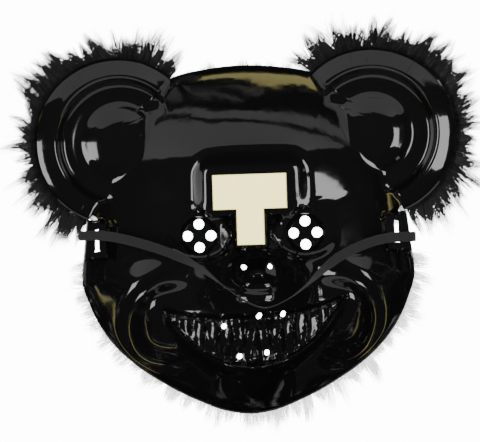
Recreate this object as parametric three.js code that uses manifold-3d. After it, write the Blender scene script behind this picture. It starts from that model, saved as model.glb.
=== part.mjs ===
// A costume panda mask: a moulded black plastic face with two round ears, button eyes and a toothed grin.
// It is hollow behind, with a foam pad for the brow, a flat elastic strap and fur on its front.
// Sizes are in millimetres. +Z is up, +Y points the way the wearer looks, and +X is to the wearer's right.
// The origin is on the pad's face that rests on the brow, where the bar of its T meets the stem.

import * as THREE from 'three';
import { mergeVertices } from 'three/addons/utils/BufferGeometryUtils.js';
import Module from 'manifold-3d';

const wasm = await Module();
wasm.setup();

// Head
const wall = 1.2;               // thickness of the plastic sheet
const rimBehindPad = 36;        // from the pad's face back to the plane of the mask's edge
const headHalfWidth = 120;
const faceMiddle = -48;         // height of the point the head's outline is measured from
const headRise = 151.6;         // from that point to the top of the head
const headDrop = 99.6;          // and to the bottom of the chin
const crownDepth = 52;          // depth of the plain dome, before the face is raised on it
const domeFullness = 3.2;       // higher values give a flatter dome with steeper sides
const domeEdge = 0.75;          // lower values give a steeper edge
const browRise = 0.12;          // slope of the brow line, from the pad's stem out to both sides

// Ears
const earAcross = 92.4;
const earUp = 52;
const earRadius = 60.6;
const earDepth = 28;

// Button eyes
const eyeAcross = 39.8;
const eyeUp = -18.8;
const eyeDepth = 44;            // depth of the sockets behind the edge plane
const buttonRadius = 14.6;
const buttonRimDepth = 5;
const buttonFloorDepth = 3;
const buttonHoleRadius = 3.8;
const buttonHoleReach = 8.7;    // from the button's middle to the middle of each hole
const cornerAcross = 23.6;      // straight side of the facet beside each button
const cornerReach = 9.6;
const cornerEdge = 1.2;
const cornerSlope = 0.48;
const eyeHollowHalfWidth = 27.7;
const eyeHollowHalfHeight = 21.2;

// Nose
const nostrilAcross = 10;
const nostrilUp = -43.8;
const nostrilRadius = 2;

// Mouth
const mouthHalfWidth = 70;
const mouthCornerUp = -67;
const mouthTilt = 3;            // degrees; the grin is a little higher on the right
const upperLipSag = 12.5;       // how far the middle of the upper lip hangs below the corners
const lowerLipSag = 50;
const mouthRecess = 7;
const toothPitch = 18.6;
const toothWidth = 9.5;
const toothHeight = 3.4;        // how far a tooth is raised
const breathingHoleRadius = 2;

// Strap and its lugs
const slotAcross = 108.5;
const slotUp = -19.7;
const slotWidth = 2.6;
const slotHeight = 15.6;
const lugReach = 7;             // from the slot's middle inwards to the step up to the head's wall
const lugHalfHeight = 12.5;
const strapWidth = 7;
const strapThickness = 0.8;

// Foam pad
const padThickness = 5;
const padBarHalfWidth = 27.5;
const padBarHeight = 26;
const padStemHalfWidth = 10.2;
const padStemHeight = 26.5;
const padMargin = 4;            // flat land left round the pad's bar
const padStemMargin = 1.5;      // and beside its stem
const padStemStep = 3;          // width of the steep step beside the stem
const padBarSlope = 17;         // width of the gentle slope round the bar

// Fur
const backing = 1.6;            // cloth that the fur grows from
const earFurBand = 16;          // width of the fur band round an ear's edge
const patchMargin = 2;          // how far a dark eye patch reaches past its eye's hollow
const patchTilt = 25;           // degrees; the patches hang outwards
const furEdge = 0.975;          // where the fur's cloth stops, as a share of the way to the edge
const lockWidth = 15;
const lockThickness = 1.4;
const lockRoot = 0.93;          // where a lock grows from the ear's cloth, as a share of earRadius
const earLocks = 15;            // locks round each ear
const earLockSpan = { from: -58, to: 172 };   // degrees from straight up, outwards, that they fill
const faceLocks = 42;           // places for locks round the head, some of them under the ears
const earFurLength = 20;        // how far fur stands out past the edge
const crownFurLength = 10;
const chinFurLength = 15;

const gap = 0.3;                // clearance between pieces that touch
const rimY = -rimBehindPad;
const headHeight = headRise + headDrop;
const sheetGrid = { across: 28, above: 11, below: 13 };
const earSides = 26;             // facets round an ear
const deepest = rimBehindPad + 2 * crownDepth;   // more than the mask's depth, for cuts right through

// The head's outline: at each turn from straight up, the reach as a share of the half width or height.
const outlineRows = [
  { turn: 0, reach: 1 },
  { turn: 12, reach: 1.01 },
  { turn: 24, reach: 1.043 },
  { turn: 38, reach: 1.075 },
  { turn: 48, reach: 1.08 },
  { turn: 57, reach: 1.062 },
  { turn: 68, reach: 1.023 },
  { turn: 80, reach: 0.997 },
  { turn: 91, reach: 1.003 },
  { turn: 101, reach: 0.978 },
  { turn: 119, reach: 0.952 },
  { turn: 131, reach: 0.936 },
  { turn: 145, reach: 0.928 },
  { turn: 160, reach: 0.95 },
  { turn: 171, reach: 0.985 },
  { turn: 180, reach: 1 },
];

// Raised forms of the face, mirrored left and right. Places and widths are shares of the head's half
// width, heights are shares of its height above the face's middle, and lifts are shares of crownDepth.
const headForms = [
  { form: 'cheek', across: 0.65, up: -0.06, halfWidth: 0.27, halfHeight: 0.13, lift: 0.13, soft: 1 },
  { form: 'muzzle', across: 0, up: -0.04, halfWidth: 0.46, halfHeight: 0.14, lift: 0.5, soft: 0.9 },
  { form: 'jaw', across: 0, up: -0.175, halfWidth: 0.62, halfHeight: 0.18, lift: 0.38, soft: 0.9 },
  { form: 'chin', across: 0, up: -0.322, halfWidth: 0.27, halfHeight: 0.1, lift: 0.42, soft: 1 },
  { form: 'nose', across: 0, up: 0.006, halfWidth: 0.2, halfHeight: 0.066, lift: 0.24, soft: 1 },
];

// The ear's dish from its edge to its middle: radius as a share of earRadius, depth as a share of earDepth.
const earRows = [
  { radius: 1, depth: 0 },
  { radius: 0.975, depth: 0.1 },
  { radius: 0.82, depth: 0.3 },
  { radius: 0.765, depth: 0.36 },
  { radius: 0.7, depth: 0.6 },
  { radius: 0.64, depth: 0.66 },
  { radius: 0.5, depth: 0.64 },
  { radius: 0.38, depth: 0.82 },
  { radius: 0.24, depth: 0.97 },
  { radius: 0, depth: 1 },
];

// The five small holes of the grin: places as shares of mouthHalfWidth from the middle of its corners.
const breathingHoles = [
  { across: 0.01, up: -0.2 },
  { across: 0.28, up: -0.18 },
  { across: -0.35, up: -0.29 },
  { across: 0.11, up: -0.58 },
  { across: -0.18, up: -0.61 },
];

// The strap's hanging route from the left lug to the right one, with its turn about its own line:
// at 0 degrees its flat face is towards the wearer, and at 90 degrees it is seen edge on.
const strapRoute = [
  { x: -108, y: -38.3, z: -15.9, turn: 0 },
  { x: -94.5, y: -39.5, z: -17.6, turn: 0 },
  { x: -72.6, y: -40.5, z: -23.6, turn: 0 },
  { x: -52.3, y: -40.5, z: -31.2, turn: 14 },
  { x: -34, y: -39.5, z: -41, turn: 52 },
  { x: -16, y: -38.5, z: -55.4, turn: 84 },
  { x: 0, y: -38, z: -67, turn: 90 },
  { x: 13, y: -38, z: -71.4, turn: 90 },
  { x: 28, y: -38, z: -66.4, turn: 90 },
  { x: 42, y: -38.5, z: -57, turn: 82 },
  { x: 54, y: -39.5, z: -46.4, turn: 52 },
  { x: 66, y: -40.5, z: -37.2, turn: 14 },
  { x: 80.6, y: -40.5, z: -29.9, turn: 0 },
  { x: 95, y: -39.5, z: -25.2, turn: 0 },
  { x: 108, y: -38.3, z: -23.5, turn: 0 },
];

// Small helpers

// 0 below zero, 1 above one, and a soft step between.
function softStep(t) {
  const held = Math.min(Math.max(t, 0), 1);
  return held * held * (3 - 2 * held);
}

function mix(from, to, share) {
  return from + (to - from) * share;
}

// A smooth curve through one column of a table, flat at both ends.
function readRows(rows, key, column, at) {
  let low = 0;
  while (low < rows.length - 2 && rows[low + 1][key] < at) {
    low += 1;
  }
  const slope = (i) => (i === 0 || i === rows.length - 1
    ? 0
    : (rows[i + 1][column] - rows[i - 1][column]) / (rows[i + 1][key] - rows[i - 1][key]));
  const span = rows[low + 1][key] - rows[low][key];
  const t = (at - rows[low][key]) / span;
  const rise = t * t * (3 - 2 * t);
  const first = t * (1 - t) * (1 - t) * span * slope(low);
  const last = t * t * (t - 1) * span * slope(low + 1);
  return mix(rows[low][column], rows[low + 1][column], rise) + first + last;
}

function solidFrom(geometry) {
  geometry.deleteAttribute('normal');
  geometry.deleteAttribute('uv');
  const merged = mergeVertices(geometry, 1e-4);
  return new wasm.Manifold(new wasm.Mesh({
    numProp: 3,
    vertProperties: new Float32Array(merged.attributes.position.array),
    triVerts: new Uint32Array(merged.index.array),
  }));
}

function geometryFrom(solid) {
  const mesh = solid.getMesh();
  const geometry = new THREE.BufferGeometry();
  geometry.setAttribute('position', new THREE.BufferAttribute(mesh.vertProperties, 3));
  geometry.setIndex(new THREE.BufferAttribute(mesh.triVerts, 1));
  return geometry;
}

function indexedGeometry(points, faces) {
  const geometry = new THREE.BufferGeometry();
  geometry.setAttribute('position', new THREE.BufferAttribute(new Float32Array(points.flat()), 3));
  geometry.setIndex(faces.flat());
  return geometry;
}

// A body turned about an axis along +Y, through (x, z), from rows of [radius, depth] that end on the axis.
function turnedBody(profile, x, z, segments) {
  const points = profile.map(([radius, depth]) => new THREE.Vector2(radius, rimY + depth));
  return solidFrom(new THREE.LatheGeometry(points, segments).translate(x, 0, z));
}

// A straight prism along Y over an outline of [x, z] points.
function prismOver(outline, fromY = rimY - deepest / 2, toY = rimY + deepest) {
  const shape = new THREE.Shape(outline.map(([x, z]) => new THREE.Vector2(x, z)));
  const body = new THREE.ExtrudeGeometry(shape, { depth: toY - fromY, bevelEnabled: false });
  return body.rotateX(Math.PI / 2).translate(0, toY, 0);
}

function ovalOutline(x, z, halfWidth, halfHeight, tilt = 0, steps = 30) {
  const lean = THREE.MathUtils.degToRad(tilt);
  return Array.from({ length: steps }, (_, i) => {
    const turn = (2 * Math.PI * i) / steps;
    const across = halfWidth * Math.cos(turn);
    const up = halfHeight * Math.sin(turn);
    const alongX = across * Math.cos(lean) - up * Math.sin(lean);
    const alongZ = across * Math.sin(lean) + up * Math.cos(lean);
    return [x + alongX, z + alongZ];
  });
}

// The head's outline

function headPlace(turn, share, inset = 0) {
  const reach = readRows(outlineRows, 'turn', 'reach', Math.abs(turn)) * share;
  const angle = THREE.MathUtils.degToRad(turn);
  const half = (Math.cos(angle) > 0 ? headRise : headDrop) - inset;
  return [Math.sin(angle) * reach * (headHalfWidth - inset), faceMiddle + Math.cos(angle) * reach * half];
}

// 0 in the middle of the face and 1 at the head's edge.
function headShare(x, z) {
  const across = Math.abs(x) / headHalfWidth;
  const up = (z - faceMiddle) / (z > faceMiddle ? headRise : headDrop);
  const turn = THREE.MathUtils.radToDeg(Math.atan2(across, up));
  return Math.hypot(across, up) / readRows(outlineRows, 'turn', 'reach', turn);
}

function headOutline(share, steps) {
  return Array.from({ length: steps }, (_, i) => headPlace(-180 + (360 * i) / steps, share));
}

// The face

// An oval form: 1 in its middle, 0 from its edge outwards, with soft as the share of it that slopes.
function ovalForm(x, z, middleX, middleZ, halfWidth, halfHeight, soft) {
  const away = Math.hypot((x - middleX) / halfWidth, (z - middleZ) / halfHeight);
  return softStep((1 - away) / soft);
}

// Height of a lip at x: it sags from the corners to the middle, and a higher power makes its middle flatter.
function lipUp(x, sag, power) {
  const share = Math.min(Math.abs(x) / mouthHalfWidth, 1);
  return mouthCornerUp - sag * (1 - share ** power) + x * Math.tan(THREE.MathUtils.degToRad(mouthTilt));
}

function upperLipUp(x) {
  return lipUp(x, upperLipSag, 2);
}

function lowerLipUp(x) {
  return lipUp(x, lowerLipSag, 2.4);
}

// How far the forehead stands out over the brow line, which rises to both sides.
function foreheadLift(x, z) {
  const browLine = browRise * Math.abs(x);
  const middleZ = faceMiddle + 0.36 * headHeight;
  const dome = ovalForm(x, z, 0, middleZ, 0.78 * headHalfWidth, 0.26 * headHeight, 0.85);
  return 0.22 * crownDepth * dome * softStep((z - browLine) / (0.03 * headHeight) + 0.5);
}

// The fold round each corner of the grin, a groove as the front shows it.
function smileFold(x, z) {
  const middleX = 0.86 * mouthHalfWidth;
  const middleZ = mouthCornerUp - 0.21 * mouthHalfWidth;
  const away = Math.hypot(Math.abs(x) - middleX, z - middleZ);
  const outward = Math.atan2(z - middleZ, Math.abs(x) - middleX);
  const along = softStep((2.1 - Math.abs(outward)) / 0.8);
  const across = (away - 0.44 * mouthHalfWidth) / (0.085 * mouthHalfWidth);
  return -0.09 * mouthHalfWidth * Math.exp(-across * across) * along;
}

// The open band of the grin sinks back behind the lips, and the lower lip stands out under it.
function mouthLift(x, z) {
  const inside = Math.min(upperLipUp(x) - z, z - lowerLipUp(x)) / (0.5 * mouthRecess);
  const across = 1 - Math.min(Math.abs(x) / mouthHalfWidth, 1) ** 2;
  const lipAway = (z - lowerLipUp(x) + 0.4 * mouthRecess) / (0.75 * mouthRecess);
  return -mouthRecess * softStep(inside) + mouthRecess * across * Math.exp(-lipAway * lipAway);
}

// 1 on the half round facet between a button and the stem of the pad.
function cornerShare(x, z) {
  const away = Math.hypot(Math.abs(x) - cornerAcross, z - eyeUp);
  return softStep((cornerReach - away) / cornerEdge + 0.5) * softStep(cornerAcross - Math.abs(x) + 0.5);
}

// Depth of the head's large forms in front of the plane of the mask's edge.
function plainDepth(x, z) {
  const share = Math.min(headShare(x, z), 1);
  let depth = crownDepth * (1 - share ** domeFullness) ** domeEdge;
  for (const row of headForms) {
    const middleX = row.across * headHalfWidth * Math.sign(x || 1);
    const middleZ = faceMiddle + row.up * headHeight;
    depth += row.lift * crownDepth * ovalForm(
      x, z, middleX, middleZ, row.halfWidth * headHalfWidth, row.halfHeight * headHeight, row.soft);
  }
  return depth + foreheadLift(x, z);
}

// Depth of the sheet's front face, but for the mouth.
function faceDepth(x, z) {
  let depth = plainDepth(x, z) + smileFold(x, z);
  const socket = ovalForm(
    x, z, Math.sign(x || 1) * eyeAcross, eyeUp, eyeHollowHalfWidth, eyeHollowHalfHeight, 0.3);
  depth = mix(depth, eyeDepth + wall, socket);
  depth = mix(depth, rimBehindPad + padThickness + gap + wall, padLand(x, z));
  const corner = eyeDepth + wall - cornerSlope * (cornerAcross - Math.abs(x));
  return mix(depth, corner, cornerShare(x, z));
}

function headDepth(x, z) {
  return faceDepth(x, z) + mouthLift(x, z);
}

// 1 on the flat land that the pad is glued to, and 0 a little way outside it.
function padLand(x, z) {
  const beyond = (half, at) => Math.max(Math.abs(at) - half, 0);
  const bar = Math.hypot(beyond(padBarHalfWidth, x), beyond(padBarHeight / 2, z - padBarHeight / 2));
  const stem = Math.hypot(beyond(padStemHalfWidth, x), beyond(padStemHeight / 2, z + padStemHeight / 2));
  const slope = mix(padStemStep, padBarSlope, softStep(z / padStemStep + 0.5));
  const away = Math.min((bar - padMargin) / slope, (stem - padStemMargin) / padStemStep);
  return 1 - softStep(away);
}

// Depth of the sheet's rear face: the wall is measured square to the surface, however steep it is.
function headRearDepth(x, z) {
  const step = 2 * wall;
  const steepest = 3.5;
  const slopeX = (headDepth(x + step, z) - headDepth(x - step, z)) / (2 * step);
  const slopeZ = (headDepth(x, z + step) - headDepth(x, z - step)) / (2 * step);
  return headDepth(x, z) - wall * Math.min(Math.hypot(1, slopeX, slopeZ), steepest);
}

// A body under the head's surface: a grid that follows the outline, with a flat underside. Its rows and
// columns lie closer in the middle of the face, and only its border moves inwards by the inset.
function bodyUnder(depthAt, inset, bottomDepth) {
  const { across, above, below } = sheetGrid;
  const up = above + below;
  const borderShare = 0.15;
  const rimBand = 0.5;
  const spread = (t) => (t + 0.2 * t ** 3) / 1.2;
  const points = [];
  const faces = [];
  for (let row = 0; row <= up; row += 1) {
    for (let column = 0; column <= across; column += 1) {
      const u = spread((2 * column) / across - 1);
      const v = row < below ? -spread(1 - row / below) : spread((row - below) / above);
      const discX = u * Math.sqrt(1 - (v * v) / 2);
      const discZ = v * Math.sqrt(1 - (u * u) / 2);
      const turn = THREE.MathUtils.radToDeg(Math.atan2(discX, discZ));
      const share = Math.hypot(discX, discZ);
      const [x, z] = headPlace(turn, share, inset * softStep((share - 1 + borderShare) / borderShare));
      points.push([x, rimY + Math.max(depthAt(x, z), bottomDepth + rimBand), z]);
    }
  }
  const wide = across + 1;
  for (let row = 0; row < up; row += 1) {
    for (let column = 0; column < across; column += 1) {
      const corner = row * wide + column;
      faces.push([corner, corner + wide, corner + 1], [corner + 1, corner + wide, corner + wide + 1]);
    }
  }
  const edge = [];
  for (let column = 0; column < across; column += 1) {
    edge.push(column);
  }
  for (let row = 0; row < up; row += 1) {
    edge.push(row * wide + across);
  }
  for (let column = across; column > 0; column -= 1) {
    edge.push(up * wide + column);
  }
  for (let row = up; row > 0; row -= 1) {
    edge.push(row * wide);
  }
  const lower = points.length;
  for (const top of edge) {
    points.push([points[top][0], rimY + bottomDepth, points[top][2]]);
  }
  const centre = points.length;
  points.push([0, rimY + bottomDepth, faceMiddle]);
  edge.forEach((top, i) => {
    const next = (i + 1) % edge.length;
    faces.push([top, edge[next], lower + i], [edge[next], lower + next, lower + i]);
    faces.push([lower + i, lower + next, centre]);
  });
  return solidFrom(indexedGeometry(points, faces));
}

// The ears and the buttons

// An ear's dish as a turned body, with its edge on the plane of the mask's edge.
function earBody(side, sheet) {
  const profile = earRows.map((row) => [row.radius * earRadius, row.depth * earDepth]);
  const front = [[0, 0], [earRadius, 0], ...profile.map(([radius, depth]) => [radius, depth + wall])];
  const rear = [[0, -wall], [earRadius - wall, -wall],
    ...profile.slice(1).map(([radius, depth]) => [Math.min(radius, earRadius - wall), depth])];
  return turnedBody((sheet === 'front' ? front : rear), side * earAcross, earUp, earSides);
}

// A button's cup: a round rim with a sunk floor, both in front of its socket.
function buttonBody(side, sheet) {
  const out = sheet === 'front' ? wall : 0;
  const start = eyeDepth - 3 * wall;
  return turnedBody([
    [0, start],
    [buttonRadius + out, start],
    [buttonRadius + out, eyeDepth],
    [buttonRadius - wall + out, eyeDepth + buttonRimDepth + out],
    [0.85 * buttonRadius - out, eyeDepth + buttonRimDepth + out],
    [0.8 * buttonRadius - out, eyeDepth + buttonFloorDepth + out],
    [0, eyeDepth + buttonFloorDepth + out],
  ], side * eyeAcross, eyeUp, 18);
}

// The teeth

// Each tooth is a pointed wedge on the sunk band of the grin. It hangs from the upper lip or stands on the
// lower gum, and the two rows pass between each other. Teeth get smaller towards the corners.
function toothBody(middle, hangs, sunk) {
  const fill = 1 - (Math.abs(middle) / mouthHalfWidth) ** 2;
  const size = 0.5 + 0.5 * fill;
  const half = (toothWidth * size - sunk) / 2;
  const point = hangs ? -1 : 1;
  const band = upperLipUp(middle) - lowerLipUp(middle) - mouthRecess / 2;
  const lip = hangs ? upperLipUp(middle) - 0.1 * mouthRecess : lowerLipUp(middle) + 0.6 * mouthRecess;
  const root = lip + (sunk / 2) * point;
  const tip = lip + ((hangs ? 0.72 : 0.8) * band - sunk) * point;
  const bandY = (x, z) => faceDepth(x, z) - mouthRecess + rimY - sunk;
  const corners = [[middle - half, root], [middle + half, root], [middle, tip]];
  const low = Math.min(...corners.map(([x, z]) => bandY(x, z))) - toothHeight;
  const ridge = mix(root, tip, 0.25);
  const points = [
    ...corners.map(([x, z]) => [x, low, z]),
    ...corners.map(([x, z]) => [x, bandY(x, z) - gap, z]),
    [middle, bandY(middle, ridge) + toothHeight * size, ridge],
  ];
  const faces = [
    [0, 2, 1],
    [0, 4, 3], [0, 1, 4],
    [1, 5, 4], [1, 2, 5],
    [2, 3, 5], [2, 0, 3],
    [3, 4, 6], [4, 5, 6], [5, 3, 6],
  ];
  const turned = hangs ? faces : faces.map(([a, b, c]) => [a, c, b]);
  return solidFrom(indexedGeometry(points, turned));
}

function teeth(sunk) {
  const list = [];
  const count = Math.floor((0.9 * mouthHalfWidth) / toothPitch);
  for (let i = -count; i <= count; i += 1) {
    list.push(toothBody(i * toothPitch, false, sunk));
  }
  for (let i = -count; i < count; i += 1) {
    list.push(toothBody((i + 0.5) * toothPitch, true, sunk));
  }
  return list;
}

// The moulded shell

function outerBody() {
  let body = bodyUnder(headDepth, 0, 0);
  for (const side of [-1, 1]) {
    body = body.add(earBody(side, 'front')).add(buttonBody(side, 'front'));
  }
  return teeth(0).reduce((whole, tooth) => whole.add(tooth), body);
}

function innerBody() {
  let body = bodyUnder(headRearDepth, wall, -wall);
  for (const side of [-1, 1]) {
    body = body.add(earBody(side, 'rear')).add(buttonBody(side, 'rear'));
  }
  return teeth(2 * wall).reduce((whole, tooth) => whole.add(tooth), body);
}

function boxBody(width, depth, height, x, y, z) {
  return solidFrom(new THREE.BoxGeometry(width, depth, height).translate(x, y, z));
}

// The room in front of each lug, where the head's wall steps inwards. Grown by the wall, and deeper
// behind, it is what is taken out of the hollow.
function lugRoom(side, grow, startY) {
  const inner = slotAcross - lugReach - grow;
  const height = 2 * (lugHalfHeight + grow);
  const middleX = side * (inner + headHalfWidth / 2);
  return boxBody(headHalfWidth, deepest, height, middleX, startY + deepest / 2, slotUp);
}

function holePin(x, z, radius, sides) {
  const pin = new THREE.CylinderGeometry(radius, radius, deepest, sides);
  return solidFrom(pin.translate(x, rimY + deepest / 2, z));
}

function shellHoles() {
  const holes = [];
  for (const side of [-1, 1]) {
    for (let quarter = 0; quarter < 4; quarter += 1) {
      const turn = (Math.PI / 2) * quarter;
      holes.push(holePin(side * eyeAcross + buttonHoleReach * Math.cos(turn),
        eyeUp + buttonHoleReach * Math.sin(turn), buttonHoleRadius, 10));
    }
    holes.push(holePin(side * nostrilAcross, nostrilUp, nostrilRadius, 8));
    holes.push(boxBody(slotWidth, 8 * wall, slotHeight, side * slotAcross, rimY, slotUp));
  }
  for (const row of breathingHoles) {
    const up = mouthCornerUp + row.up * mouthHalfWidth;
    holes.push(holePin(row.across * mouthHalfWidth, up, breathingHoleRadius, 8));
  }
  return holes;
}

function withoutLugs(body, grow, startY) {
  return body.subtract(lugRoom(-1, grow, startY)).subtract(lugRoom(1, grow, startY));
}


// Cutting leaves crumbs of less than a millimetre where two surfaces nearly meet. Only the sheet is kept.
function largestPiece(body) {
  return body.decompose().reduce((kept, piece) => (piece.volume() > kept.volume() ? piece : kept));
}

const outer = withoutLugs(outerBody(), 0, rimY + wall);
const inner = withoutLugs(innerBody(), wall, rimY - 2 * wall).add(solidFrom(padBody(gap)));
const pierced = shellHoles().reduce((body, hole) => body.subtract(hole), outer.subtract(inner));
const shellSolid = largestPiece(pierced);

// The foam pad

function padBody(grow) {
  const bar = padBarHalfWidth + grow;
  const stem = padStemHalfWidth + grow;
  const bottom = -padStemHeight - grow;
  const outline = [
    [-stem, bottom], [stem, bottom], [stem, -grow], [bar, -grow],
    [bar, padBarHeight + grow], [-bar, padBarHeight + grow], [-bar, -grow], [-stem, -grow],
  ];
  return prismOver(outline, grow > 0 ? rimY / 2 : 0, padThickness + grow);
}

// The strap

// The loop at a lug, from the stitched end behind it, through the slot, and round the lug's edge.
function lugLoop(side, up) {
  const layer = gap + strapThickness / 2;
  const bend = slotWidth / 2 + 0.2;
  const edge = headPlace(90, 1)[0] + 2 * layer;
  return [
    { x: slotAcross - 0.9 * lugReach, y: -layer },
    { x: slotAcross - 2 * bend, y: -layer },
    { x: slotAcross - bend, y: -layer - 0.1 },
    { x: slotAcross - 0.2 * bend, y: -0.1 },
    { x: slotAcross + 0.2 * bend, y: wall + 0.1 },
    { x: slotAcross + bend, y: wall + layer + 0.1 },
    { x: slotAcross + 2 * bend, y: wall + layer },
    { x: edge - 2, y: wall + layer },
    { x: edge, y: wall / 2 },
    { x: edge - 2, y: -3 * layer - gap },
  ].map((point) => ({ x: side * point.x, y: rimY + point.y, z: up, turn: 0 }));
}

// A flat band along the route. Its broad side leans with each row's turn.
function strapGeometry() {
  const first = strapRoute[0];
  const last = strapRoute[strapRoute.length - 1];
  const rows = [...lugLoop(-1, first.z), ...strapRoute, ...lugLoop(1, last.z).reverse()];
  const path = rows.map((row) => new THREE.Vector3(row.x, row.y, row.z));
  const curve = new THREE.CatmullRomCurve3(path, false, 'centripetal');
  const steps = 2 * (rows.length - 1);
  const points = [];
  for (let i = 0; i <= steps; i += 1) {
    const t = i / steps;
    const along = curve.getTangent(t);
    const place = curve.getPoint(t);
    const row = t * (rows.length - 1);
    const low = Math.min(Math.floor(row), rows.length - 2);
    const turn = THREE.MathUtils.degToRad(mix(rows[low].turn, rows[low + 1].turn, softStep(row - low)));
    const upright = new THREE.Vector3(0, 0, 1).addScaledVector(along, -along.z).normalize();
    const broad = upright.applyAxisAngle(along, turn);
    const thin = new THREE.Vector3().crossVectors(along, broad);
    for (const [wide, deep] of [[-1, -1], [1, -1], [1, 1], [-1, 1]]) {
      const corner = place.clone().addScaledVector(broad, (wide * strapWidth) / 2)
        .addScaledVector(thin, (deep * strapThickness) / 2);
      points.push([corner.x, corner.y, corner.z]);
    }
  }
  const faces = [[0, 2, 1], [0, 3, 2]];
  for (let i = 0; i < steps; i += 1) {
    for (let corner = 0; corner < 4; corner += 1) {
      const a = 4 * i + corner;
      const b = 4 * i + ((corner + 1) % 4);
      faces.push([a, b, a + 4], [b, b + 4, a + 4]);
    }
  }
  const end = 4 * steps;
  faces.push([end, end + 1, end + 2], [end, end + 2, end + 3]);
  return indexedGeometry(points, faces);
}

// The fur

// Each lock is a flat tapering wedge from its root on the cloth to its tip.
function furLock(root, tip) {
  const along = new THREE.Vector3().subVectors(tip, root).normalize();
  const broad = new THREE.Vector3().crossVectors(along, new THREE.Vector3(0, 1, 0)).normalize();
  const thick = new THREE.Vector3().crossVectors(broad, along).normalize();
  const corners = [[-1, -1], [1, -1], [1, 1], [-1, 1]].map(([wide, deep]) => root.clone()
    .addScaledVector(broad, (wide * lockWidth) / 2).addScaledVector(thick, (deep * lockThickness) / 2));
  const points = [...corners, tip].map((point) => [point.x, point.y, point.z]);
  const faces = [[0, 1, 2], [0, 2, 3], [0, 4, 1], [1, 4, 2], [2, 4, 3], [3, 4, 0]];
  return solidFrom(indexedGeometry(points, faces));
}

// A body under the head's front that stands a little out from it, in rings from the middle to the edge.
function clothBody(stand) {
  const turns = 32;
  const shares = [0.4, 0.64, 0.8, 0.91, furEdge];
  const middleDepths = [plainDepth(0, faceMiddle), -crownDepth];
  const points = middleDepths.map((depth) => [0, rimY + stand + depth, faceMiddle]);
  const faces = [];
  for (const share of shares) {
    for (const [x, z] of headOutline(share, turns)) {
      points.push([x, rimY + stand + plainDepth(x, z), z]);
    }
  }
  for (const [x, z] of headOutline(furEdge, turns)) {
    points.push([x, rimY + stand - crownDepth, z]);
  }
  for (let i = 0; i < turns; i += 1) {
    const next = (i + 1) % turns;
    const last = 2 + shares.length * turns;
    faces.push([0, 2 + i, 2 + next], [1, last + next, last + i]);
    for (let ring = 0; ring < shares.length; ring += 1) {
      const a = 2 + ring * turns;
      const b = a + turns;
      faces.push([a + i, b + i, a + next], [a + next, b + i, b + next]);
    }
  }
  return solidFrom(indexedGeometry(points, faces));
}

function sidePrism(outline) {
  return solidFrom(prismOver(outline));
}

// The cloth ring on the front of an ear's edge.
function earCloth(side) {
  const rows = earRows.filter((row) => row.radius > 1 - earFurBand / earRadius && row.radius <= furEdge);
  const near = rows.map((row) => [row.radius * earRadius, row.depth * earDepth + wall + gap]).reverse();
  const far = [...near].reverse().map(([radius, depth]) => [radius, depth + backing]);
  return turnedBody([...near, ...far, near[0]], side * earAcross, earUp, earSides);
}

function earFur(side) {
  let fur = earCloth(side).subtract(sidePrism(headOutline(1.01, 36)));
  const clothDepth = earDepth * readRows([...earRows].reverse(), 'radius', 'depth', lockRoot);
  for (let i = 0; i < earLocks; i += 1) {
    const turn = THREE.MathUtils.degToRad(mix(earLockSpan.from, earLockSpan.to, (i + 0.5) / earLocks));
    const out = new THREE.Vector3(side * Math.sin(turn), 0, Math.cos(turn));
    const middleOfEar = new THREE.Vector3(side * earAcross, rimY + gap + wall, earUp);
    const root = middleOfEar.clone().addScaledVector(out, lockRoot * earRadius);
    root.y += clothDepth + backing / 2;
    const reach = earFurLength * (0.8 + 0.2 * Math.cos(5 * i));
    const tip = middleOfEar.clone().addScaledVector(out, earRadius + reach);
    tip.y += 0.3 * reach;
    fur = fur.add(furLock(root, tip));
  }
  return largestPiece(fur);
}

// The bare part of the face, from the brow to just above the chin.
const faceWindow = ovalOutline(
  0, faceMiddle - 0.03 * headHeight, 0.76 * headHalfWidth, 0.33 * headHeight, 0, 24);

function eyeFur(side) {
  const halfWidth = eyeHollowHalfWidth + patchMargin;
  const halfHeight = eyeHollowHalfHeight + patchMargin;
  const patch = ovalOutline(
    side * 1.06 * eyeAcross, eyeUp + 0.2 * buttonRadius, halfWidth, halfHeight, side * -patchTilt, 16);
  const opening = buttonRadius + 3 * wall;
  const button = ovalOutline(side * eyeAcross, eyeUp, opening, opening, 0, 14);
  const region = sidePrism(patch).subtract(sidePrism(button));
  const skin = outer.translate(0, gap + backing, 0).subtract(outer.translate(0, gap, 0));
  return largestPiece(skin.intersect(region));
}

function faceFur() {
  const above = boxBody(3 * headHalfWidth, deepest, 3 * headHeight, 0, rimY + deepest / 2 + gap, 0);
  let fur = clothBody(2.4 * backing).subtract(clothBody(1.4 * backing)).intersect(above);
  fur = fur.subtract(sidePrism(faceWindow));
  fur = withoutLugs(fur, 2 * wall, rimY);
  for (let i = 0; i < faceLocks; i += 1) {
    const turn = -180 + (360 * (i + 0.5)) / faceLocks;
    const [x, z] = headPlace(turn, furEdge - 0.02);
    const besideEar = Math.hypot(Math.abs(x) - earAcross, z - earUp) < earRadius + lockWidth;
    const besideLug = Math.abs(z - slotUp) < lugHalfHeight + lockWidth && Math.abs(x) > 0.8 * headHalfWidth;
    if (!besideEar && !besideLug) {
      const reach = (Math.abs(turn) > 90 ? chinFurLength : crownFurLength) * (0.85 + 0.15 * Math.cos(7 * i));
      const root = new THREE.Vector3(x, rimY + plainDepth(x, z) + 1.9 * backing, z);
      const [outX, outZ] = headPlace(turn, 1);
      const out = new THREE.Vector3(outX, 0, outZ - faceMiddle).normalize();
      const tip = new THREE.Vector3(outX, rimY + 0.35 * reach, outZ).addScaledVector(out, reach);
      fur = fur.add(furLock(root, tip));
    }
  }
  return largestPiece(fur.subtract(outer.translate(0, gap, 0)));
}

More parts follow.
